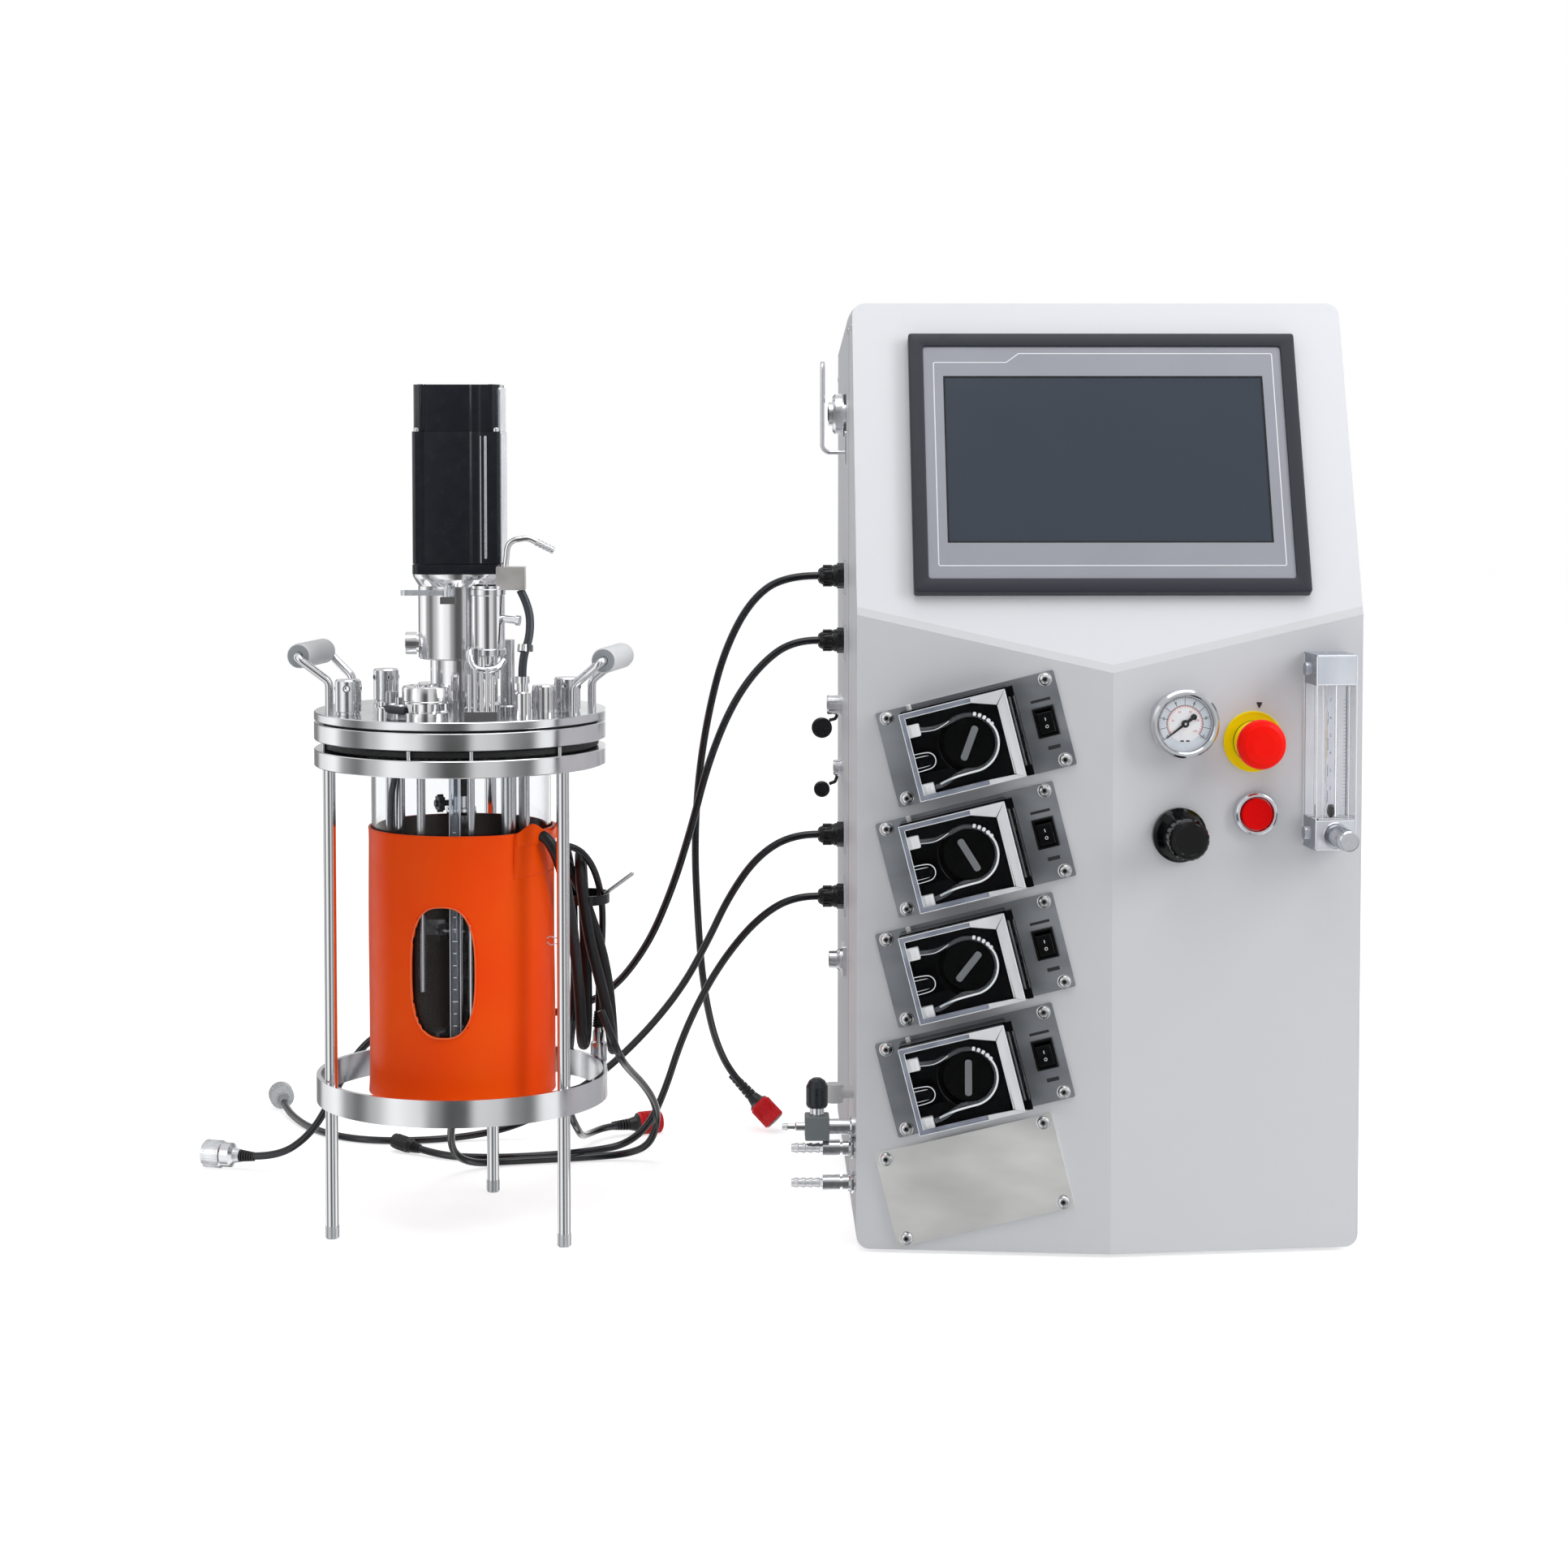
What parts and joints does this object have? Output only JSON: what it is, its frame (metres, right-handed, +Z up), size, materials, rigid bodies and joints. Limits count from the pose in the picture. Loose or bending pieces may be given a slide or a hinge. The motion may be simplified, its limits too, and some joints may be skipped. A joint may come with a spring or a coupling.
{
  "type": "bench bioreactor",
  "caption": "Stirred glass culture vessel in a round steel stand, with servo drive and heating blanket, beside a control cabinet with leaning touch panel, peristaltic pumps and gas controls.",
  "frame": {"origin": "on the bench, in the middle of the footprint without the loose cables", "axes": "+X to the right along the pair, +Z up, the front looks along -Y"},
  "size_m": [0.8485, 0.5339, 0.6627],
  "materials": {
    "blanket_orange": "satin",
    "cable_black": "satin",
    "cap_black": "matt",
    "clear_cover": "gloss",
    "control_black": "satin",
    "float_black": "satin",
    "gland_black": "satin",
    "grey_facet": "satin",
    "grip_white": "ribbed",
    "jar_glass": "clear",
    "meter_acrylic": "gloss",
    "motor_metal": "plain",
    "needle_black": "matt",
    "panel_frame": "matt",
    "polished": "polished",
    "pump_black": "satin",
    "rotor_black": "gloss",
    "rubber_black": "matt",
    "screen_glass": "gloss",
    "seal_black": "matt",
    "servo_black": "semi-gloss",
    "stainless": "brushed",
    "stop_red": "gloss",
    "switch_black": "satin",
    "white_shell": "satin"
  },
  "bodies": {
    "base": {"front_housing": "white_shell", "rear_housing": "white_shell", "lower_fascia": "grey_facet", "bench_feet": "rubber_black", "panel_housing": "panel_frame", "panel_screen": "screen_glass", "side_plates": "stainless", "plate_screws": "stainless", "pump_heads": "pump_black", "pump_motors": "motor_metal", "gauge_case": "polished", "panel_bezels": "control_black", "flow_meter": "meter_acrylic", "side_fittings": "polished", "dust_caps": "cap_black", "cable_glands": "gland_black", "head_plate": "stainless", "lid_seal": "seal_black", "clamp_ring": "stainless", "stand_ring": "stainless", "glass_jar": "jar_glass", "heating_blanket": "blanket_orange", "stand_frame": "stainless", "hold_down_nuts": "polished", "handle_rods": "polished", "bearing_housing": "stainless", "servo_motor": "servo_black", "lid_tubes": "polished", "lid_fittings": "polished", "cable_1": "cable_black", "cable_2": "cable_black", "cable_3": "cable_black", "cable_4": "cable_black", "exhaust_hose": "cable_black", "blanket_cable": "cable_black", "sensor_cable": "cable_black", "cable_plugs": "polished"},
    "stirrer_body": {"stirrer": "polished"},
    "locking_lever_body": {"locking_lever": "polished"},
    "grip_left_body": {"grip_left": "grip_white"},
    "grip_right_body": {"grip_right": "grip_white"},
    "pump_rotor_1_body": {"pump_rotor_1": "rotor_black"},
    "pump_rotor_2_body": {"pump_rotor_2": "rotor_black"},
    "pump_rotor_3_body": {"pump_rotor_3": "rotor_black"},
    "pump_rotor_4_body": {"pump_rotor_4": "rotor_black"},
    "pump_cover_1_body": {"pump_cover_1": "clear_cover"},
    "pump_cover_2_body": {"pump_cover_2": "clear_cover"},
    "pump_cover_3_body": {"pump_cover_3": "clear_cover"},
    "pump_cover_4_body": {"pump_cover_4": "clear_cover"},
    "rocker_1_body": {"rocker_1": "switch_black"},
    "rocker_2_body": {"rocker_2": "switch_black"},
    "rocker_3_body": {"rocker_3": "switch_black"},
    "rocker_4_body": {"rocker_4": "switch_black"},
    "stop_button_body": {"stop_button": "stop_red"},
    "push_button_body": {"push_button": "stop_red"},
    "regulator_knob_body": {"regulator_knob": "control_black"},
    "gauge_needle_body": {"gauge_needle": "needle_black"},
    "meter_float_body": {"meter_float": "float_black"},
    "meter_knob_body": {"meter_knob": "polished"},
    "valve_knob_body": {"valve_knob": "control_black"}
  },
  "joints": [
    {"name": "stirrer_spin", "type": "hinge", "parent": "base", "child": "stirrer_body", "pos_m": [-0.25303, -0.08689, 0.3], "axis": [0, 0, 1], "continuous": true},
    {"name": "locking_lever_turn", "type": "hinge", "parent": "base", "child": "locking_lever_body", "pos_m": [-0.25903, -0.12039, 0.458], "axis": [0, 0, 1], "range_deg": [0, 90]},
    {"name": "grip_right_spin", "type": "hinge", "parent": "base", "child": "grip_right_body", "pos_m": [-0.14348, -0.11017, 0.411], "axis": [0.2079, 0.9781, 0], "continuous": true},
    {"name": "grip_left_spin", "type": "hinge", "parent": "base", "child": "grip_left_body", "pos_m": [-0.36258, -0.0636, 0.411], "axis": [-0.2079, -0.9781, 0], "continuous": true},
    {"name": "pump_rotor_1_spin", "type": "hinge", "parent": "base", "child": "pump_rotor_1_body", "pos_m": [0.10475, -0.17488, 0.35911], "axis": [-0.1023, -0.9948, 0], "continuous": true},
    {"name": "pump_cover_1_swing", "type": "hinge", "parent": "base", "child": "pump_cover_1_body", "pos_m": [0.1373, -0.19733, 0.36801], "axis": [-0.2474, 0.0254, 0.9686], "range_deg": [0, 100]},
    {"name": "rocker_1_tilt", "type": "hinge", "parent": "base", "child": "rocker_1_body", "pos_m": [0.15624, -0.18168, 0.37244], "axis": [-0.9635, 0.0991, -0.2487], "range_deg": [0, 14]},
    {"name": "pump_rotor_2_spin", "type": "hinge", "parent": "base", "child": "pump_rotor_2_body", "pos_m": [0.10475, -0.17488, 0.28241], "axis": [-0.1023, -0.9948, 0], "continuous": true},
    {"name": "pump_cover_2_swing", "type": "hinge", "parent": "base", "child": "pump_cover_2_body", "pos_m": [0.1373, -0.19733, 0.29131], "axis": [-0.2474, 0.0254, 0.9686], "range_deg": [0, 100]},
    {"name": "rocker_2_tilt", "type": "hinge", "parent": "base", "child": "rocker_2_body", "pos_m": [0.15624, -0.18168, 0.29574], "axis": [-0.9635, 0.0991, -0.2487], "range_deg": [0, 14]},
    {"name": "pump_rotor_3_spin", "type": "hinge", "parent": "base", "child": "pump_rotor_3_body", "pos_m": [0.10475, -0.17488, 0.2057], "axis": [-0.1023, -0.9948, 0], "continuous": true},
    {"name": "pump_cover_3_swing", "type": "hinge", "parent": "base", "child": "pump_cover_3_body", "pos_m": [0.1373, -0.19733, 0.21461], "axis": [-0.2474, 0.0254, 0.9686], "range_deg": [0, 100]},
    {"name": "rocker_3_tilt", "type": "hinge", "parent": "base", "child": "rocker_3_body", "pos_m": [0.15624, -0.18168, 0.21904], "axis": [-0.9635, 0.0991, -0.2487], "range_deg": [0, 14]},
    {"name": "pump_rotor_4_spin", "type": "hinge", "parent": "base", "child": "pump_rotor_4_body", "pos_m": [0.10475, -0.17488, 0.12901], "axis": [-0.1023, -0.9948, 0], "continuous": true},
    {"name": "pump_cover_4_swing", "type": "hinge", "parent": "base", "child": "pump_cover_4_body", "pos_m": [0.1373, -0.19733, 0.13791], "axis": [-0.2474, 0.0254, 0.9686], "range_deg": [0, 100]},
    {"name": "rocker_4_tilt", "type": "hinge", "parent": "base", "child": "rocker_4_body", "pos_m": [0.15624, -0.18168, 0.14233], "axis": [-0.9635, 0.0991, -0.2487], "range_deg": [0, 14]},
    {"name": "stop_button_press", "type": "slide", "parent": "base", "child": "stop_button_body", "axis": [-0.1023, 0.9948, 0], "range_m": [0, 0.005]},
    {"name": "push_button_press", "type": "slide", "parent": "base", "child": "push_button_body", "axis": [-0.1023, 0.9948, 0], "range_m": [0, 0.003], "stiffness_N_per_m": 300, "springref_m": -0.001},
    {"name": "regulator_knob_turn", "type": "hinge", "parent": "base", "child": "regulator_knob_body", "pos_m": [0.2482, -0.18013, 0.294], "axis": [0.1023, -0.9948, 0], "range_deg": [-720, 720]},
    {"name": "gauge_needle_turn", "type": "hinge", "parent": "base", "child": "gauge_needle_body", "pos_m": [0.2494, -0.18001, 0.3716], "axis": [-0.1023, 0.9948, 0], "range_deg": [0, 254], "stiffness_Nm_per_rad": 0.00002},
    {"name": "meter_float_rise", "type": "slide", "parent": "base", "child": "meter_float_body", "axis": [0, 0, 1], "range_m": [0, 0.082]},
    {"name": "meter_knob_turn", "type": "hinge", "parent": "base", "child": "meter_knob_body", "pos_m": [0.3494, -0.16973, 0.2959], "axis": [0.1023, -0.9948, 0], "range_deg": [-720, 720]},
    {"name": "valve_knob_turn", "type": "hinge", "parent": "base", "child": "valve_knob_body", "pos_m": [0, -0.14989, 0.1], "axis": [0, 0, 1], "range_deg": [-180, 180]}
  ]
}
